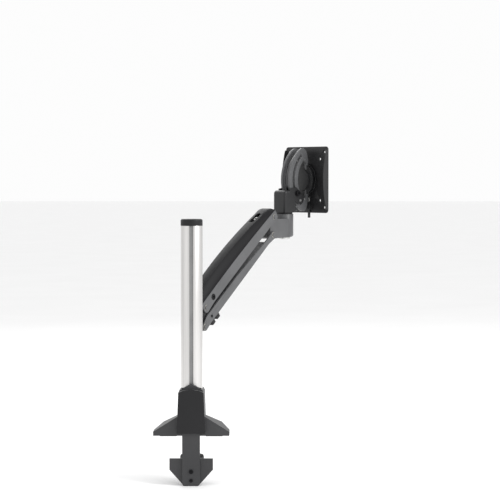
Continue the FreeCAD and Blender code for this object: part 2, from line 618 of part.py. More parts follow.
def make_upper_link():
    solid = upper_side(ARM_HALF_W)
    solid = solid.cut(box(-30, LINK_L + 30, -INNER_HALF_W, INNER_HALF_W, WEB_TOP, 60))
    for x0, x1 in ((-30, WEB_END), (LINK_L - WEB_END, LINK_L + 30)):
        solid = solid.cut(box(x0, x1, -INNER_HALF_W, INNER_HALF_W, -20, 40))
    bushes = []
    for x in (0.0, LINK_L):
        solid = solid.cut(cross_rod(PIN_R + 1, x, 0, ARM_HALF_W + 1))
        for side in (-1, 1):
            start = (x, side * INNER_HALF_W, 0)
            bushes.append(ring(PIN_R + 1, PIN_R, start, (x, side * ARM_HALF_W, 0)))
    screws = []
    for side in (-1, 1):
        start = (SIDE_SCREW_X, side * (INNER_HALF_W + 1), SIDE_SCREW_Z)
        washer = rod(SIDE_SCREW_R, start, (SIDE_SCREW_X, side * (ARM_HALF_W + 0.4), SIDE_SCREW_Z))
        solid = solid.cut(washer)
        outside = (SIDE_SCREW_X, side * (ARM_HALF_W + 2), SIDE_SCREW_Z)
        seat = rod(SIDE_SCREW_R - 1.9, (SIDE_SCREW_X, side * (ARM_HALF_W - 0.4), SIDE_SCREW_Z), outside)
        socket = rod(1.5, (SIDE_SCREW_X, side * (ARM_HALF_W - 1.4), SIDE_SCREW_Z), outside)
        screws.append(washer.cut(seat).cut(socket))
    slot = slot_cutter()
    nodes["upper_channel"] = upper(solid)
    nodes["upper_link_bushes"] = upper(group(bushes))
    nodes["cover_screws"] = upper(group(screws))
    cover = cover_solid(0.0, COVER_HALF_W).cut(cover_solid(COVER_WALL, COVER_HALF_W - COVER_WALL))
    nodes["upper_cover"] = upper(cover.cut(slot))


def slot_cutter():
    """The opening over the tension screw, through the cover's top."""
    radius = COVER_SLOT_W / 2
    x0 = COVER_SLOT_X[0] + radius
    x1 = COVER_SLOT_X[1] - radius
    low = UPPER_MID_H
    ends = [rod(radius, (x, 0, low), (x, 0, 50)) for x in (x0, x1)]
    return fuse([box(x0, x1, -radius, radius, low, 50)] + ends)


def make_gas_spring():
    start = (GAS_START, 0, GAS_Z)
    end = (GAS_END, 0, GAS_Z)
    tube = ring(GAS_R, GAS_ROD_R + 1.5, start, (GAS_END - 4, 0, GAS_Z)).fuse(
        rod(GAS_R, (GAS_END - 4, 0, GAS_Z), end))
    tongues = []
    for side in (-1, 1):
        y = sorted((side * NUT_SIDE, side * (NUT_SIDE + FORK_T)))
        tongues.append(box(GAS_END - 4, TENSION_X + 6, *y, GAS_Z - 5, GAS_Z + 5))
    tube = fuse([tube] + tongues)
    eye = [cross_rod(TRUNNION_R + 0.3, TENSION_X, GAS_Z + dz, 20)
           for dz in (-TENSION_TRAVEL, TENSION_TRAVEL)]
    eye.append(box(TENSION_X - TRUNNION_R - 0.3, TENSION_X + TRUNNION_R + 0.3, -20, 20,
                   GAS_Z - TENSION_TRAVEL, GAS_Z + TENSION_TRAVEL))
    tube = tube.cut(fuse(eye))
    nodes["gas_cylinder"] = upper(tube)
    gland_end = (GAS_START + GLAND_L, 0, GAS_Z)
    nodes["gas_gland"] = upper(ring(GAS_ROD_R + 1.5, GAS_ROD_R, start, gland_end))
    saddles = []
    for x in SADDLE_X:
        clip = box(x - SADDLE_L / 2, x + SADDLE_L / 2, -INNER_HALF_W, INNER_HALF_W, WEB_TOP, GAS_Z + 4)
        saddles.append(clip.cut(rod(GAS_R, (x - 9, 0, GAS_Z), (x + 9, 0, GAS_Z))))
    nodes["cylinder_saddles"] = upper(group(saddles))
    crank_x = CRANK_E * math.sin(math.radians(LIFT_DEG))
    half_x = CRANK_R + YOKE_PLAY
    low = PIN_R + YOKE_PLAY
    yoke = box(crank_x - half_x - YOKE_WALL, crank_x + 10, -YOKE_HALF_Y, YOKE_HALF_Y, low, YOKE_TOP)
    gap = box(crank_x - half_x, crank_x + half_x, -YOKE_HALF_Y, YOKE_HALF_Y, low, YOKE_TOP - YOKE_WALL)
    nodes["spring_yoke"] = upper(yoke.cut(gap))
    shaft = rod(GAS_ROD_R - RUN, (crank_x + 10, 0, GAS_Z), (GAS_START + 60, 0, GAS_Z))
    nodes["gas_rod"] = upper(shaft)


def make_tension():
    top = GAS_Z + 8.0
    screw = rod(TENSION_R - RUN, (TENSION_X, 0, GAS_Z - 8), (TENSION_X, 0, top))
    cap = rod(TENSION_HEAD_R, (TENSION_X, 0, top), (TENSION_X, 0, top + 4))
    socket = rod(2.0, (TENSION_X, 0, top + 1), (TENSION_X, 0, top + 5))
    nodes["tension_screw"] = upper(screw.fuse(cap).cut(socket))
    nut = box(TENSION_X - NUT_HALF_X, TENSION_X + NUT_HALF_X, -NUT_HALF, NUT_HALF, GAS_Z - NUT_HALF_Z, GAS_Z + NUT_HALF_Z)
    nut = nut.fuse(cross_rod(TRUNNION_R, TENSION_X, GAS_Z, NUT_SIDE + FORK_T + 1))
    nut = nut.cut(rod(TENSION_R, (TENSION_X, 0, GAS_Z - 20), (TENSION_X, 0, GAS_Z + 20)))
    nodes["tension_nut"] = upper(nut)
    shelf = box(TENSION_X - 6, TENSION_X + 6, -INNER_HALF_W, INNER_HALF_W, WEB_TOP, GAS_Z - 6.5)
    shelf = shelf.cut(rod(TENSION_R, (TENSION_X, 0, GAS_Z - 20), (TENSION_X, 0, GAS_Z + 20)))
    nodes["tension_bracket"] = upper(shelf)


def make_lower_link():
    end = LOWER_END_R
    reach = LINK_L + end
    steps = [[(-end * COS_45, -end * COS_45), (0, -end)], [(20, LOWER_BELLY_BASE)],
             [(LINK_L - 22, LOWER_BELLY_TIP)], [(LINK_L, -end)],
             [(LINK_L + end * COS_45, -end * COS_45), (reach, 0)],
             [(LINK_L + end * COS_45, end * COS_45), (LINK_L, end)],
             [(LINK_L - 20, LOWER_TOP_TIP)], [(120, LOWER_TOP_BASE)], [(14, LOWER_TOP_BASE)],
             [(0, end)], [(-end * COS_45, end * COS_45), (-end, 0)]]
    solid = outline((-end, 0), steps, ARM_HALF_W)
    hollow = outline((-30, 40), [[(LINK_L + 30, 40)], [(LINK_L + 30, LOWER_BELLY_TIP + LOWER_WEB)],
                                 [(20, LOWER_BELLY_BASE + LOWER_WEB)], [(-30, LOWER_BELLY_BASE)],
                                 [(-30, 40)]], INNER_HALF_W)
    solid = solid.cut(hollow)
    for x0, x1 in ((-30, 14), (LINK_L - 18, LINK_L + 30)):
        solid = solid.cut(box(x0, x1, -INNER_HALF_W, INNER_HALF_W, -20, 40))
    bushes = []
    rivets = []
    for x in (0.0, LINK_L):
        solid = solid.cut(cross_rod(PIN_R + 1, x, 0, ARM_HALF_W + 1))
        for side in (-1, 1):
            start = (x, side * INNER_HALF_W, 0)
            bushes.append(ring(PIN_R + 1, PIN_R, start, (x, side * ARM_HALF_W, 0)))
    for side in (-1, 1):
        rivet = rod(2.4, (25, side * INNER_HALF_W, 3), (25, side * (ARM_HALF_W + 0.8), 3))
        solid = solid.cut(rivet)
        rivets.append(rivet)
    clips = []
    slope = (LOWER_BELLY_TIP - LOWER_BELLY_BASE) / (LINK_L - 42)
    for x in CLIP_X:
        belly = LOWER_BELLY_BASE + slope * (x - 20)
        clip = box(x, x + CLIP_L, -CLIP_W, CLIP_W, belly - CLIP_H, belly)
        hole = box(x - 1, x + CLIP_L + 1, -CLIP_W + CLIP_WALL, CLIP_W - CLIP_WALL,
                   belly - CLIP_H + CLIP_WALL, belly - CLIP_WALL)
        clips.append(clip.cut(hole))
    nodes["lower_channel"] = lower(solid)
    nodes["lower_link_bushes"] = lower(group(bushes))
    nodes["link_rivets"] = lower(group(rivets))
    nodes["cable_clips"] = lower(group(clips))


# --- wrist and head ---

def make_wrist():
    low = WRIST_BOTTOM_Z - TIP_Z
    top = WRIST_TOP_Z - TIP_Z
    eye_x = -PIN_BACK
    neck_top = -4.0
    web = outline((eye_x, -PIN_DROP - EYE_R), [[(WRIST_REACH - WRIST_BARREL_R - 4, low)],
                                               [(WRIST_REACH, low)], [(WRIST_REACH, neck_top)],
                                               [(EYE_R + 1, neck_top)], [(EYE_R, 0)],
                                               [(0, EYE_R), (-EYE_R, 0)],
                                               [(eye_x - EYE_R, -PIN_DROP)],
                                               [(eye_x - EYE_R * COS_45, -PIN_DROP - EYE_R * COS_45),
                                                (eye_x, -PIN_DROP - EYE_R)]], BLOCK_HALF_W)
    barrel = rod(WRIST_BARREL_R, (WRIST_REACH, 0, low), (WRIST_REACH, 0, top))
    barrel = soften(barrel, WRIST_ROUND, lambda edge: edge.CenterOfMass.z < low + 1)
    solid = fuse([web, barrel])
    bore = SPINDLE_R + BUSH_T
    solid = solid.cut(rod(bore, (WRIST_REACH, 0, low - 5), (WRIST_REACH, 0, top + 5)))
    pins = []
    for x, z in ((0, 0), (-PIN_BACK, -PIN_DROP)):
        solid = solid.cut(cross_rod(PIN_R - RUN, x, z, ARM_HALF_W))
        pin = cross_rod(PIN_R - RUN, x, z, PIN_REACH)
        for side in (-1, 1):
            pin = pin.fuse(rod(PIN_HEAD_R, (x, side * PIN_REACH, z), (x, side * (PIN_REACH + PIN_HEAD_T), z)))
        pins.append(pin)
    bushes = []
    for z0, z1 in ((low, low + PAN_BUSH_L), (top - PAN_BUSH_L, top)):
        bushes.append(ring(bore, SPINDLE_R + RUN, (WRIST_REACH, 0, z0), (WRIST_REACH, 0, z1)))
    for name, shape in (("wrist_bracket", solid), ("wrist_pins", group(pins)), ("pan_bushes", group(bushes))):
        nodes[name] = arm(place(shape, (0, 0, 0), (TIP_AHEAD, 0, TIP_Z), 0.0))


def tilt_point(degrees, radius):
    """A point of the head's frame on a circle about the tilt axis, 0 straight back."""
    angle = math.radians(degrees)
    return TILT_X - radius * math.cos(angle), FACE_Z + radius * math.sin(angle)


def make_head():
    foot_z = WRIST_TOP_Z + PAN_WASHER_T
    post = box(POST_BACK, POST_FRONT, -POST_HALF_Y, POST_HALF_Y, foot_z, POST_TOP_Z)
    post = soften(post, 6.0, lambda edge: edge.CenterOfMass.z > POST_TOP_Z - 0.1
                  and runs_along(edge, (0, 1, 0)) and edge.CenterOfMass.x < 0)
    post = soften(post, 4.0, lambda edge: runs_along(edge, (0, 0, 1)) and edge.CenterOfMass.x < 0)
    clear_r = SLOT_R + ARC_HALF_BAND + PART_GAP
    cheek_y = ARC_CENTRE_Y + ARC_T / 2 + PART_GAP
    lobe = [(0, POST_TOP_Z + 3), (14, POST_TOP_Z + 6), (33, POST_TOP_Z - 10), (31, POST_TOP_Z - 22),
            (22, POST_TOP_Z - 25), (10, POST_TOP_Z - 19), (0, POST_TOP_Z - 19)]
    cheeks = []
    for side in (-1, 1):
        y0, y1 = sorted((side * cheek_y, side * POST_HALF_Y))
        cheek = polygon([(x, y0, z) for x, z in lobe], (0, y1 - y0, 0))
        cheeks.append(soften(cheek, 3.5, lambda edge: runs_along(edge, (0, 1, 0))
                             and edge.CenterOfMass.x > 5))
    post = post.cut(cross_rod(clear_r, TILT_X, FACE_Z, cheek_y))
    tongue_half = ARC_CENTRE_Y - ARC_T / 2 - PART_GAP
    bolt_x, bolt_z = tilt_point(FRICTION_DEG, SLOT_R)
    pin_x, pin_z = tilt_point(GUIDE_DEG, SLOT_R)
    web = polygon([(0, -tongue_half, foot_z + 4), (POST_FRONT, -tongue_half, foot_z + 4),
                   (pin_x + 4, -tongue_half, pin_z - 4), (bolt_x + 3, -tongue_half, bolt_z + 6),
                   (0, -tongue_half, POST_TOP_Z - 1)], (0, 2 * tongue_half, 0))
    eyes = [cross_rod(FRICTION_EYE_R, bolt_x, bolt_z, tongue_half), cross_rod(GUIDE_EYE_R, pin_x, pin_z, tongue_half)]
    solid = fuse([post, web] + eyes + cheeks)
    reach = POST_HALF_Y
    bolt = cross_rod(TILT_PIN_R - RUN, bolt_x, bolt_z, reach + TILT_WASHER_T + 3)
    guide = cross_rod(TILT_PIN_R - RUN, pin_x, pin_z, reach)
    solid = solid.cut(bolt).cut(guide)
    washers = []
    for side in (-1, 1):
        start = (bolt_x, side * reach, bolt_z)
        end = (bolt_x, side * (reach + TILT_WASHER_T), bolt_z)
        washers.append(ring(TILT_WASHER_R, TILT_PIN_R - RUN, start, end))
    outer = reach + TILT_WASHER_T
    knob = rod(4.2, (bolt_x, -outer, bolt_z), (bolt_x, -outer - 3.5, bolt_z))
    socket = rod(2.0, (bolt_x, -outer - 1.2, bolt_z), (bolt_x, -outer - 4, bolt_z))
    nodes["friction_bolt"] = head(bolt.fuse(knob).cut(socket))
    nut = ring(4.2, TILT_PIN_R - RUN, (bolt_x, outer, bolt_z), (bolt_x, outer + 3, bolt_z))
    nodes["friction_nut"] = head(nut)
    nodes["guide_pin"] = head(guide)
    nodes["tilt_washers"] = head(group(washers))
    tail_z = WRIST_BOTTOM_Z - 4
    spindle = rod(SPINDLE_R, (0, 0, tail_z), (0, 0, foot_z + 12))
    nodes["head_post"] = head(solid.cut(spindle))
    nodes["pan_spindle"] = head(spindle)
    nodes["pan_washer"] = head(ring(WRIST_BARREL_R - 1.5, SPINDLE_R, (0, 0, WRIST_TOP_Z + RUN),
                                    (0, 0, foot_z)))
    nodes["pan_ring"] = head(ring(SPINDLE_R + RING_W, SPINDLE_R, (0, 0, WRIST_BOTTOM_Z - 3),
                                  (0, 0, WRIST_BOTTOM_Z - 0.3)))


def sector(half_degrees, y0, y1):
    """A wedge of space behind the tilt axis, as wide as the angle to both sides."""
    far = 2.0 * (SLOT_R + ARC_HALF_BAND)
    top = tilt_point(half_degrees, far)
    bottom = tilt_point(-half_degrees, far)
    corners = [(TILT_X, FACE_Z), top, (top[0] - far, FACE_Z), bottom]
    return polygon([(x, y0, z) for x, z in corners], (0, y1 - y0, 0))


def make_tilt_frame():
    inner = SLOT_R - ARC_HALF_BAND
    outer = SLOT_R + ARC_HALF_BAND
    arcs = []
    slot_half = TILT_PIN_R
    for side in (-1, 1):
        y0 = side * ARC_CENTRE_Y - ARC_T / 2
        y1 = y0 + ARC_T
        band = ring(outer, inner, (TILT_X, y0, FACE_Z), (TILT_X, y1, FACE_Z))
        band = band.common(sector(ARC_END_DEG, y0, y1))
        tips = []
        for end in (-ARC_END_DEG, ARC_END_DEG):
            x, z = tilt_point(end, SLOT_R)
            tips.append(rod(ARC_HALF_BAND, (x, y0, z), (x, y1, z)))
            sign = math.copysign(1, end)
            tips.append(polygon([(x, y0, FACE_Z + sign * z) for x, z in ARC_FOOT], (0, ARC_T, 0)))
        band = fuse([band] + tips)
        track = ring(SLOT_R + slot_half, SLOT_R - slot_half, (TILT_X, y0, FACE_Z), (TILT_X, y1, FACE_Z))
        arcs.append(band.cut(track.common(sector(SLOT_HALF_DEG, y0, y1))))
    nodes["tilt_arcs"] = head(group(arcs))
    spine = rod(SPINE_R, (HUB_X, 0, FACE_Z), (HUB_X + SPINE_T, 0, FACE_Z)).cut(group(arcs))
    axle_end = FACE_AHEAD - 0.5
    axle = rod(HUB_R, (HUB_X, 0, FACE_Z), (axle_end, 0, FACE_Z))
    axle = axle.fuse(rod(HUB_CAP_R, (HUB_X - 1.5, 0, FACE_Z), (HUB_X, 0, FACE_Z))).cut(group(arcs))
    nodes["tilt_hub"] = head(spine.cut(axle))
    nodes["hub_bolt"] = head(axle)


# --- faceplate ---

def make_faceplate():
    back = FACE_AHEAD - PLATE_T
    disc_back = HUB_X + SPINE_T + PART_GAP
    step = (disc_back + back) / 2
    bore = rod(HUB_R + RUN, (0, 0, FACE_Z), (FACE_AHEAD + 5, 0, FACE_Z))
    disc = rod(DISC_STEP_R, (disc_back, 0, FACE_Z), (step, 0, FACE_Z)).fuse(
        rod(DISC_R, (step, 0, FACE_Z), (back, 0, FACE_Z)))
    plate = box(back, FACE_AHEAD, -PLATE_W / 2, PLATE_W / 2, FACE_Z - PLATE_H / 2, FACE_Z + PLATE_H / 2)
    plate = soften(plate, PLATE_CORNER_R, lambda edge: runs_along(edge, (1, 0, 0)))
    flanges = []
    for side in (-1, 1):
        y0 = side * PLATE_W / 2 - (FLANGE_T if side > 0 else 0)
        ends = PLATE_H / 2 - PLATE_CORNER_R
        edges = [Part.makeLine(V(back, y0, FACE_Z - ends), V(back, y0, FACE_Z + ends)),
                 Part.makeLine(V(back, y0, FACE_Z + ends), V(back - FLANGE_END, y0, FACE_Z + ends)),
                 Part.Arc(V(back - FLANGE_END, y0, FACE_Z + ends), V(back - FLANGE_MID, y0, FACE_Z),
                          V(back - FLANGE_END, y0, FACE_Z - ends)).toShape(),
                 Part.makeLine(V(back - FLANGE_END, y0, FACE_Z - ends), V(back, y0, FACE_Z - ends))]
        flanges.append(Part.Face(Part.Wire(edges)).extrude(V(0, FLANGE_T, 0)))
    plate = fuse([plate] + flanges)
    for side_y in (-1, 1):
        for side_z in (-1, 1):
            y = side_y * VESA_L / 2
            z = FACE_Z + side_z * VESA_L / 2
            plate = plate.cut(rod(VESA_HOLE_R, (back - 1, y, z), (FACE_AHEAD + 1, y, z)))
            y = side_y * VESA_S / 2
            z = FACE_Z + side_z * VESA_S / 2
            plate = plate.cut(rod(VESA_HOLE_R, (back - 1, y, z), (FACE_AHEAD + 1, y, z)))
    screws = []
    for turn in range(4):
        angle = math.radians(90 * turn)
        y = DISC_SCREW_AT * math.cos(angle)
        z = FACE_Z + DISC_SCREW_AT * math.sin(angle)
        screws.append(rod(DISC_SCREW_R, (disc_back, y, z), (FACE_AHEAD, y, z)))
    screws = group(screws)
    nodes["rotation_disc"] = head(disc.cut(bore).cut(screws))
    nodes["disc_screws"] = head(screws)
    low = FACE_Z - PLATE_H / 2
    tab_back = back - PART_GAP - LATCH_T
    y0 = LATCH_Y - LATCH_HALF_W
    y1 = LATCH_Y + LATCH_HALF_W
    tab = box(tab_back, tab_back + LATCH_T, y0, y1, low - LATCH_BELOW, low + 20)
    nodes["latch_tab"] = head(tab)
    guide = box(tab_back - 2, back, y0 - 3, y1 + 3, low + 6, low + 14)
    guide = guide.cut(box(tab_back - SLIDE_GAP, back, y0 - SLIDE_GAP, y1 + SLIDE_GAP, low, low + 20))
    spring_z = low + 20 + PART_GAP
    anchor = box(tab_back, back, y0, y1, spring_z + LATCH_SPRING_L, spring_z + LATCH_SPRING_L + 2)
    nodes["latch_spring"] = head(rod(1.5, (tab_back + LATCH_T / 2, LATCH_Y, spring_z),
                                     (tab_back + LATCH_T / 2, LATCH_Y, spring_z + LATCH_SPRING_L)))
    nodes["vesa_plate"] = head(fuse([plate, guide, anchor]).cut(bore).cut(screws))


def main():
    make_base()
    make_strap_and_jaw()
    make_clamp_screw()
    make_column()
    make_carriage()
    make_shoulder()
    make_upper_link()
    make_gas_spring()
    make_tension()
    make_lower_link()
    make_wrist()
    make_head()
    make_tilt_frame()
    make_faceplate()
    os.makedirs("parts", exist_ok=True)
    for name, shape in nodes.items():
        shape.exportStep("parts/" + name + ".step")
        if not shape.isValid():
            print("invalid:", name)


main()
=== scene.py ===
"""Looks of the monitor arm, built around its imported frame.  Metres."""

import json
import math

import bmesh
import bpy
from mathutils import Matrix, Vector


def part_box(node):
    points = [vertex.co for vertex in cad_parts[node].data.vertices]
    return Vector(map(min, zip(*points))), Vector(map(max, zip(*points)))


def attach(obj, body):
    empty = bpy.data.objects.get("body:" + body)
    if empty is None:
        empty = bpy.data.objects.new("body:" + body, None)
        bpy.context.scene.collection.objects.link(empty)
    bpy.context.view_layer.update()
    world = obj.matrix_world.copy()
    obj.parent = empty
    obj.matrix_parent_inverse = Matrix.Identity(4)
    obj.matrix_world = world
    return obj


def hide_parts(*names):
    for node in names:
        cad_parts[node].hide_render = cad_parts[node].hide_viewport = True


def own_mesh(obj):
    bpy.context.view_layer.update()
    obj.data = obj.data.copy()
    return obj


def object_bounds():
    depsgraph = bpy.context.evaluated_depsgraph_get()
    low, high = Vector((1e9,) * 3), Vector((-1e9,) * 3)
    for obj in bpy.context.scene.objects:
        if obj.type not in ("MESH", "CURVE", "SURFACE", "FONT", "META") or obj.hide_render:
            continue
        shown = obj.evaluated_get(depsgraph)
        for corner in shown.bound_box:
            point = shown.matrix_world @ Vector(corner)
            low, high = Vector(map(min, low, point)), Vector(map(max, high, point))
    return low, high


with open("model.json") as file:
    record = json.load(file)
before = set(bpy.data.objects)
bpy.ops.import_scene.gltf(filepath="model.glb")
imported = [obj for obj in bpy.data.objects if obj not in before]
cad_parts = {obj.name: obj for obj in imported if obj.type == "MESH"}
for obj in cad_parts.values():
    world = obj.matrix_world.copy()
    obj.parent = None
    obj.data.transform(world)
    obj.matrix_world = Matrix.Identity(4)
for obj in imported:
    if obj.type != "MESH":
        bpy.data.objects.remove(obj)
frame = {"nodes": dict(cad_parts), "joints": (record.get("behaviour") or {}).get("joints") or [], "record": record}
cad_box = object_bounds()
JOINTS = {joint["name"]: joint for joint in frame["joints"]}

MM = 0.001

# --- camera, in the arm's frame ---
CAMERA_AT = Vector((0.132, -3.090, 0.4244))
CAMERA_AIM = Vector((-0.01135, 1.0, -0.03784))
LENS = 134.1                    # lens and sensor in millimetres
SENSOR_W = 36.0
CLIP_END = 90.0

# --- cover of the upper link, in the link's frame ---
COVER_HALF_W = 17.0 * MM
COVER_TOP_HALF_W = 9.0 * MM
COVER_WALL = 2.0 * MM
COVER_FOOT = ((-8.5 * MM, 12.0 * MM), (127.5 * MM, 13.4 * MM), (263.5 * MM, 9.0 * MM))
COVER_CROWN = ((-8.5 * MM, 25.5 * MM), (127.5 * MM, 29.0 * MM), (263.5 * MM, 14.5 * MM))
END_ROUND = 9.0 * MM            # the crown falls over this length at both ends
END_RISE = 0.45                 # how far up its curve the crown starts there
COVER_STATIONS = 49

# --- the cover's section: shares of its height, from foot to crown ---
SIDE_TOP = 0.16
SHOULDER_LOW = 0.30
SHOULDER_HIGH = 0.86
CROWN_EDGE = 0.96
CROWN_INNER = 0.995
SHOULDER_LEAN = 0.6 * MM        # the side leans in by this much at the low shoulder
SHOULDER_OUT = 1.6 * MM         # the high shoulder is this far outside the crown
TOP_INSET = 0.4                 # share of the wall taken off the crown's half width

# --- opening in the cover ---
SLOT_HALF_W = 4.5 * MM
SLOT_HALF_L = 11.5 * MM         # from its middle to the centre of each round end
SLOT_TURN = 15                  # degrees between the points of a round end
CUT_FROM = 5.0 * MM
CUT_TO = 60.0 * MM

# --- coil of the latch spring ---
COIL_WIRE = 0.3 * MM            # half the thickness of the wire
COIL_TURNS = 6
COIL_STEPS = 20                 # points in one turn
COIL_BEVEL = 3

# --- surroundings ---
FLOOR_HALF = 40.0
FLOOR_DROP = 0.5 * MM           # keeps the floor just clear of the lowest part
WORLD_GREY = 0.98
WELD_WITHIN = 0.00001


# --- materials ---

def shader(name, colour, roughness, metallic=0.0, specular=0.5):
    """A principled material and its node tree, with the constant inputs set."""
    material = bpy.data.materials.new(name)
    material.use_nodes = True
    tree = material.node_tree
    body = tree.nodes["Principled BSDF"]
    body.inputs["Base Color"].default_value = (*colour, 1.0)
    body.inputs["Roughness"].default_value = roughness
    body.inputs["Metallic"].default_value = metallic
    body.inputs["Specular IOR Level"].default_value = specular
    material.diffuse_color = (*colour, 1.0)
    return material, tree, body


def object_noise(tree, scale, detail=4.0, stretch=(1.0, 1.0, 1.0)):
    """Noise over the object's own metres, stretched along its axes."""
    place = tree.nodes.new("ShaderNodeTexCoord")
    mapping = tree.nodes.new("ShaderNodeMapping")
    mapping.inputs["Scale"].default_value = stretch
    noise = tree.nodes.new("ShaderNodeTexNoise")
    noise.inputs["Scale"].default_value = scale
    noise.inputs["Detail"].default_value = detail
    tree.links.new(place.outputs["Object"], mapping.inputs["Vector"])
    tree.links.new(mapping.outputs["Vector"], noise.inputs["Vector"])
    return noise.outputs["Fac"]


def ramp(tree, value, dark, light, low=0.3, high=0.7):
    """Maps a value to a colour between dark and light."""
    node = tree.nodes.new("ShaderNodeValToRGB")
    node.color_ramp.elements[0].position = low
    node.color_ramp.elements[0].color = (*dark, 1.0)
    node.color_ramp.elements[1].position = high
    node.color_ramp.elements[1].color = (*light, 1.0)
    tree.links.new(value, node.inputs["Fac"])
    return node.outputs["Color"]


def vary_roughness(tree, body, value, low, high):
    node = tree.nodes.new("ShaderNodeMapRange")
    node.inputs["To Min"].default_value = low
    node.inputs["To Max"].default_value = high
    tree.links.new(value, node.inputs["Value"])
    tree.links.new(node.outputs["Result"], body.inputs["Roughness"])


def bump(tree, body, value, strength, distance):
    node = tree.nodes.new("ShaderNodeBump")
    node.inputs["Strength"].default_value = strength
    node.inputs["Distance"].default_value = distance
    tree.links.new(value, node.inputs["Height"])
    tree.links.new(node.outputs["Normal"], body.inputs["Normal"])


def scaled(colour, factor):
    return tuple(min(1.0, channel * factor) for channel in colour)


def painted(name, colour, roughness, grain=1400.0, strength=0.18, specular=0.5):
    """Powder coat or moulded texture: fine grain, with slow patches of sheen."""
    material, tree, body = shader(name, colour, roughness, 0.0, specular)
    patches = object_noise(tree, 22.0)
    fine = object_noise(tree, grain, 2.0)
    mottled = ramp(tree, patches, scaled(colour, 0.86), scaled(colour, 1.14))
    tree.links.new(mottled, body.inputs["Base Color"])
    vary_roughness(tree, body, patches, roughness - 0.06, roughness + 0.08)
    bump(tree, body, fine, strength, 0.0002)
    return material


def drawn_metal(name, colour, roughness, stretch, scale=260.0, metallic=1.0):
    """Metal with fine lines along one axis, as drawing or turning leaves."""
    material, tree, body = shader(name, colour, roughness, metallic)
    lines = object_noise(tree, scale, 6.0, stretch)
    patches = object_noise(tree, 14.0)
    streaked = ramp(tree, lines, scaled(colour, 0.9), scaled(colour, 1.06))
    tree.links.new(streaked, body.inputs["Base Color"])
    vary_roughness(tree, body, patches, roughness - 0.05, roughness + 0.07)
    bump(tree, body, lines, 0.12, 0.0001)
    return material


def make_materials():
    upright = (1.0, 1.0, 0.01)
    return {
        "casting_paint": painted("casting_paint", (0.026, 0.026, 0.028), 0.46),
        "black_plastic": painted("black_plastic", (0.010, 0.010, 0.011), 0.48, grain=900.0,
                                 strength=0.18, specular=0.28),
        "rubber": painted("rubber", (0.018, 0.018, 0.018), 0.85, grain=700.0, strength=0.3),
        "aluminium_extrusion": drawn_metal("aluminium_extrusion", (0.64, 0.63, 0.62), 0.34, upright),
        "link_grey": painted("link_grey", (0.086, 0.087, 0.090), 0.36, grain=1600.0,
                             strength=0.14, specular=0.4),
        "cover_plastic": painted("cover_plastic", (0.007, 0.007, 0.008), 0.44, grain=1200.0,
                                 strength=0.18, specular=0.16),
        "black_metal": painted("black_metal", (0.011, 0.011, 0.012), 0.42, grain=1500.0,
                               strength=0.18, specular=0.4),
        "steel": drawn_metal("steel", (0.58, 0.58, 0.57), 0.30, (1.0, 1.0, 4.0), scale=500.0),
        "black_steel": painted("black_steel", (0.007, 0.007, 0.008), 0.40, grain=1800.0,
                               strength=0.08, specular=0.15),
        # painted shade: the track strip's grey darkens the column's groove, standing in for the shade inside it
        "groove_shade_grey": painted("groove_shade_grey", (0.22, 0.22, 0.22), 0.45, grain=900.0),
        "bearing_plastic": painted("bearing_plastic", (0.55, 0.53, 0.47), 0.45, grain=800.0,
                                   strength=0.1)}


# --- meshes ---

def new_object(name, mesh, material, body, replaced=()):
    piece = bpy.data.objects.new(name, mesh)
    bpy.context.scene.collection.objects.link(piece)
    mesh.materials.append(material)
    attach(piece, body)
    if replaced:
        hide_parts(*replaced)
    return piece


def soften_edges(piece, width, segments=3, angle=28.0):
    """Rounds the sharp edges and keeps the shading of the flats."""
    weld = piece.modifiers.new("weld", "WELD")
    weld.merge_threshold = WELD_WITHIN
    bevel = piece.modifiers.new("edges", "BEVEL")
    bevel.width = width
    bevel.segments = segments
    bevel.limit_method = "ANGLE"
    bevel.angle_limit = math.radians(angle)
    bevel.harden_normals = True
    bevel.use_clamp_overlap = True


def centre(box):
    return (Vector(box[0]) + Vector(box[1])) / 2


def smooth(piece):
    for polygon in piece.data.polygons:
        polygon.use_smooth = True


def link_frame():
    """The upper link's frame: X along it, Z towards the cover, origin at its base pin."""
    along = Vector(JOINTS["spring_slide"]["axis"])
    across = -Vector(JOINTS["lift"]["axis"])
    up = Vector(JOINTS["nut_travel"]["axis"])
    turn = Matrix((along, across, up)).transposed().to_4x4()
    return Matrix.Translation(Vector(JOINTS["lift"]["pos_m"])) @ turn


def arch(points):
    """The height of the circle through three points, as a function of x."""
    (x1, z1), (x2, z2), (x3, z3) = points
    a = 2 * (x1 * (z2 - z3) - z1 * (x2 - x3) + x2 * z3 - x3 * z2)
    s1, s2, s3 = x1 * x1 + z1 * z1, x2 * x2 + z2 * z2, x3 * x3 + z3 * z3
    cx = (s1 * (z2 - z3) + s2 * (z3 - z1) + s3 * (z1 - z2)) / a
    cz = (s1 * (x3 - x2) + s2 * (x1 - x3) + s3 * (x2 - x1)) / a
    radius = math.hypot(x1 - cx, z1 - cz)
    return lambda x: cz + math.sqrt(radius * radius - (x - cx) ** 2)


def cover_section(height, width, inset):
    """Half of the cover's crowned section, from its foot to its middle."""
    side = width - inset
    top = COVER_TOP_HALF_W - inset * TOP_INSET
    high = height - inset
    return [(side, 0.0), (side, high * SIDE_TOP), (side - SHOULDER_LEAN, high * SHOULDER_LOW),
            (top + SHOULDER_OUT, high * SHOULDER_HIGH), (top, high * CROWN_EDGE),
            (top / 2, high * CROWN_INNER), (0.0, high)]


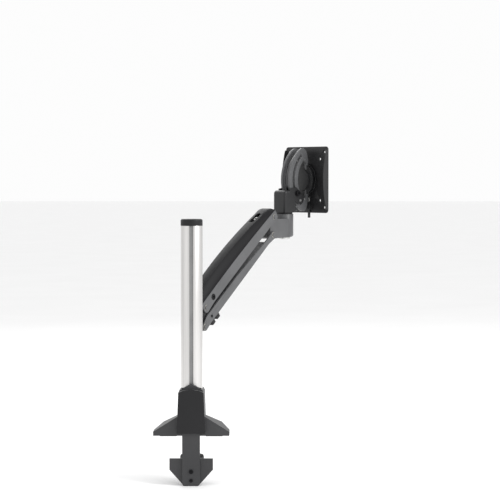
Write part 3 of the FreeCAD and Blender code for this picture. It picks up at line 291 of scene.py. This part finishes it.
def make_cover(materials):
    """A crowned shell over the upper link, with an opening over the tension screw."""
    line = arch(COVER_FOOT)
    crown = arch(COVER_CROWN)
    start, end = COVER_FOOT[0][0], COVER_FOOT[2][0]
    mesh = bmesh.new()
    rings = []
    for layer, inset in (("out", 0.0), ("in", COVER_WALL)):
        rows = []
        for step in range(COVER_STATIONS):
            share = step / (COVER_STATIONS - 1)
            x = start + inset + (end - start - 2 * inset) * share
            from_end = min(x - start, end - x)
            ease = min(1.0, max(0.0, from_end - inset) / END_ROUND + END_RISE)
            height = (crown(x) - line(x)) * math.sin(ease * math.pi / 2)
            half = cover_section(height, COVER_HALF_W, inset)
            both = [(y, z) for y, z in half] + [(-y, z) for y, z in reversed(half[:-1])]
            rows.append([mesh.verts.new((x, y, line(x) + max(z, 0.0))) for y, z in both])
        for near, far in zip(rows, rows[1:]):
            for k in range(len(near) - 1):
                quad = (near[k], near[k + 1], far[k + 1], far[k])
                mesh.faces.new(quad if layer == "out" else quad[::-1])
        rings.append(rows)
    outer, inner = rings
    for k in (0, -1):
        for row in range(COVER_STATIONS - 1):
            mesh.faces.new((outer[row][k], outer[row + 1][k], inner[row + 1][k], inner[row][k]))
    for row in (0, -1):
        for k in range(len(outer[0]) - 1):
            mesh.faces.new((outer[row][k], outer[row][k + 1], inner[row][k + 1], inner[row][k]))
    bmesh.ops.recalc_face_normals(mesh, faces=mesh.faces)
    data = bpy.data.meshes.new("upper_cover_shell")
    mesh.to_mesh(data)
    mesh.free()
    data.transform(link_frame())
    piece = new_object("upper_cover_shell", data, materials["cover_plastic"], "upper_link",
                       ("upper_cover",))
    cut_slot(piece)
    smooth(piece)
    soften_edges(piece, 0.5 * MM, 3, 24.0)
    return piece


def cut_slot(piece):
    """Cuts the opening over the tension screw, an obround along the link."""
    nut = link_frame().inverted() @ centre(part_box("tension_screw"))
    mesh = bmesh.new()
    outline = []
    for start, x in ((0, nut.x + SLOT_HALF_L), (math.pi, nut.x - SLOT_HALF_L)):
        for turned in range(-90, 91, SLOT_TURN):
            angle = math.radians(turned) + start
            outline.append((x + SLOT_HALF_W * math.cos(angle), SLOT_HALF_W * math.sin(angle)))
    low = [mesh.verts.new((x, y, CUT_FROM)) for x, y in outline]
    face = mesh.faces.new(low)
    top = bmesh.ops.extrude_face_region(mesh, geom=[face])
    for item in top["geom"]:
        if isinstance(item, bmesh.types.BMVert):
            item.co.z = CUT_TO
    bmesh.ops.recalc_face_normals(mesh, faces=mesh.faces)
    data = bpy.data.meshes.new("slot_cutter")
    mesh.to_mesh(data)
    mesh.free()
    data.transform(link_frame())
    cutter = bpy.data.objects.new("slot_cutter", data)
    bpy.context.scene.collection.objects.link(cutter)
    cut = piece.modifiers.new("slot", "BOOLEAN")
    cut.object = cutter
    cut.operation = "DIFFERENCE"
    cut.solver = "EXACT"
    bpy.context.view_layer.update()
    evaluated = piece.evaluated_get(bpy.context.evaluated_depsgraph_get())
    result = bpy.data.meshes.new_from_object(evaluated)
    piece.modifiers.remove(cut)
    piece.data = result
    bpy.data.objects.remove(cutter)


def make_latch_spring(materials):
    """A coil of wire in place of the plain cylinder."""
    low, high = (Vector(corner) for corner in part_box("latch_spring"))
    middle = (low + high) / 2
    radius = (high.x - low.x) / 2 - COIL_WIRE
    curve = bpy.data.curves.new("latch_coil", "CURVE")
    curve.dimensions = "3D"
    curve.bevel_depth = COIL_WIRE
    curve.bevel_resolution = COIL_BEVEL
    line = curve.splines.new("POLY")
    steps = COIL_TURNS * COIL_STEPS
    line.points.add(steps)
    for step in range(steps + 1):
        angle = 2 * math.pi * COIL_TURNS * step / steps
        x = middle.x + radius * math.cos(angle)
        y = middle.y + radius * math.sin(angle)
        z = low.z + COIL_WIRE + (high.z - low.z - 2 * COIL_WIRE) * step / steps
        line.points[step].co = (x, y, z, 1)
    draft = bpy.data.objects.new("latch_draft", curve)
    bpy.context.scene.collection.objects.link(draft)
    bpy.context.view_layer.update()
    evaluated = draft.evaluated_get(bpy.context.evaluated_depsgraph_get())
    mesh = bpy.data.meshes.new_from_object(evaluated)
    bpy.data.objects.remove(draft)
    coil = new_object("latch_coil", mesh, materials["steel"], "faceplate", ("latch_spring",))
    smooth(coil)
    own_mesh(coil)


# --- CAD nodes that stay ---

EDGE_WIDTH = {                  # width of the rounded edges, in millimetres
    "base_casting": 2.2, "base_rear_cover": 1.1, "column_collar": 0.9, "rear_strap": 0.7, "lower_jaw": 1.0,
    "head_post": 1.2, "upper_channel": 0.6, "lower_channel": 0.6, "wrist_bracket": 0.9, "tilt_arcs": 0.6,
    "vesa_plate": 0.5, "tilt_hub": 0.6, "rotation_disc": 0.7, "column_cap": 0.6, "carriage_bracket": 0.8}
SMALL_EDGE = 0.25
PAINTED_SHADE_FINISH = {"track_strip": "groove_shade_grey"}      # nodes whose finish isn't their slot's; the track strip's grey is painted shade in the column's groove


def dress_nodes(materials, replaced):
    slots = {entry["node"]: entry["material_slot"] for entry in frame["record"]["subparts"]}
    for name, piece in frame["nodes"].items():
        if name in replaced:
            continue
        piece.data.materials.clear()
        piece.data.materials.append(materials[PAINTED_SHADE_FINISH.get(name, slots[name])])
        soften_edges(piece, EDGE_WIDTH.get(name, SMALL_EDGE) * MM)


# --- floor, lights and camera ---

def make_floor():
    low = cad_box[0][2]
    mesh = bmesh.new()
    bmesh.ops.create_grid(mesh, x_segments=1, y_segments=1, size=FLOOR_HALF)
    data = bpy.data.meshes.new("floor")
    mesh.to_mesh(data)
    mesh.free()
    floor = bpy.data.objects.new("floor", data)
    floor.location.z = low - FLOOR_DROP
    bpy.context.scene.collection.objects.link(floor)
    material, tree, body = shader("floor", (0.92, 0.92, 0.92), 0.80)
    tree.links.new(ramp(tree, object_noise(tree, 3.0), (0.91, 0.91, 0.91), (0.93, 0.93, 0.93)),
                   body.inputs["Base Color"])
    data.materials.append(material)


def area_light(name, at, target, size, power, tint=(1.0, 1.0, 1.0)):
    light = bpy.data.lights.new(name, "AREA")
    light.shape = "RECTANGLE"
    light.size, light.size_y = size
    light.energy = power
    light.color = tint
    lamp = bpy.data.objects.new(name, light)
    lamp.location = at
    lamp.rotation_euler = (Vector(target) - Vector(at)).to_track_quat("-Z", "Y").to_euler()
    bpy.context.scene.collection.objects.link(lamp)


def make_light():
    middle = centre(cad_box)
    area_light("key", (1.9, -1.1, 1.5), middle, (1.0, 1.4), 40.0)
    area_light("fill", (-2.2, -1.2, 1.1), middle, (1.8, 2.0), 3.0)
    area_light("rim", (-0.6, 2.2, 1.8), middle, (2.0, 1.0), 18.0)
    world = bpy.data.worlds.new("studio")
    world.use_nodes = True
    backdrop = world.node_tree.nodes["Background"]
    backdrop.inputs["Color"].default_value = (WORLD_GREY, WORLD_GREY, WORLD_GREY, 1.0)
    backdrop.inputs["Strength"].default_value = 1.0
    bpy.context.scene.world = world


def make_camera():
    data = bpy.data.cameras.new("camera")
    data.lens = LENS
    data.sensor_width = SENSOR_W
    data.clip_end = CLIP_END
    camera = bpy.data.objects.new("camera", data)
    camera.location = CAMERA_AT
    camera.rotation_euler = CAMERA_AIM.to_track_quat("-Z", "Y").to_euler()
    bpy.context.scene.collection.objects.link(camera)
    bpy.context.scene.camera = camera
    bpy.context.scene.view_settings.view_transform = "Standard"


def main():
    make_camera()
    make_light()
    make_floor()
    materials = make_materials()
    make_cover(materials)
    make_latch_spring(materials)
    dress_nodes(materials, ("upper_cover", "latch_spring"))


main()
